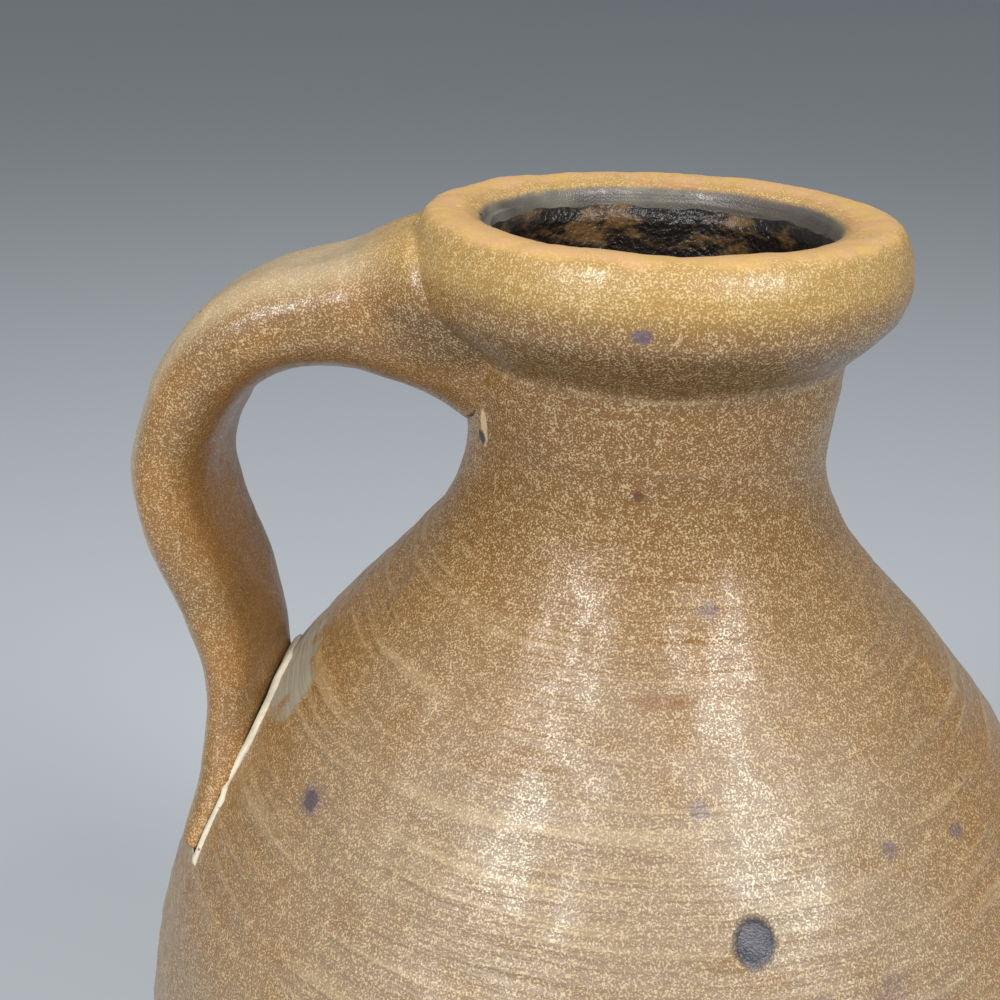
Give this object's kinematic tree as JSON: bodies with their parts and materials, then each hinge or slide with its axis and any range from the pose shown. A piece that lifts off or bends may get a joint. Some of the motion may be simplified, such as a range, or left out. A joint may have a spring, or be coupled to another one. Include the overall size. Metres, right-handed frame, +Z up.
{
  "type": "stoneware jug",
  "caption": "Salt glazed stoneware jug for holding and pouring liquids, with a swelling shoulder, a thick rounded lip and a strap handle set between collar and shoulder",
  "frame": {"origin": "centre of the flat resting face under the foot", "axes": "+Z up through the mouth, the strap handle lies on the -X side and its mid plane is Y = 0, the front seen in the picture faces -Y"},
  "size_m": [0.1474, 0.1474, 0.2446],
  "materials": {
    "salt_glaze": "pebbled salt glaze, semi gloss",
    "brown_slip": "dark glossy slip",
    "handle_glaze": "coarse pebbled salt glaze, semi gloss",
    "luting_slip": "matt pale slip"
  },
  "bodies": {
    "root": {"jug_body": "salt_glaze", "inner_slip_lining": "brown_slip", "strap_handle": "handle_glaze", "upper_luting_slip": "luting_slip", "lower_luting_slip": "luting_slip"}
  },
  "joints": []
}
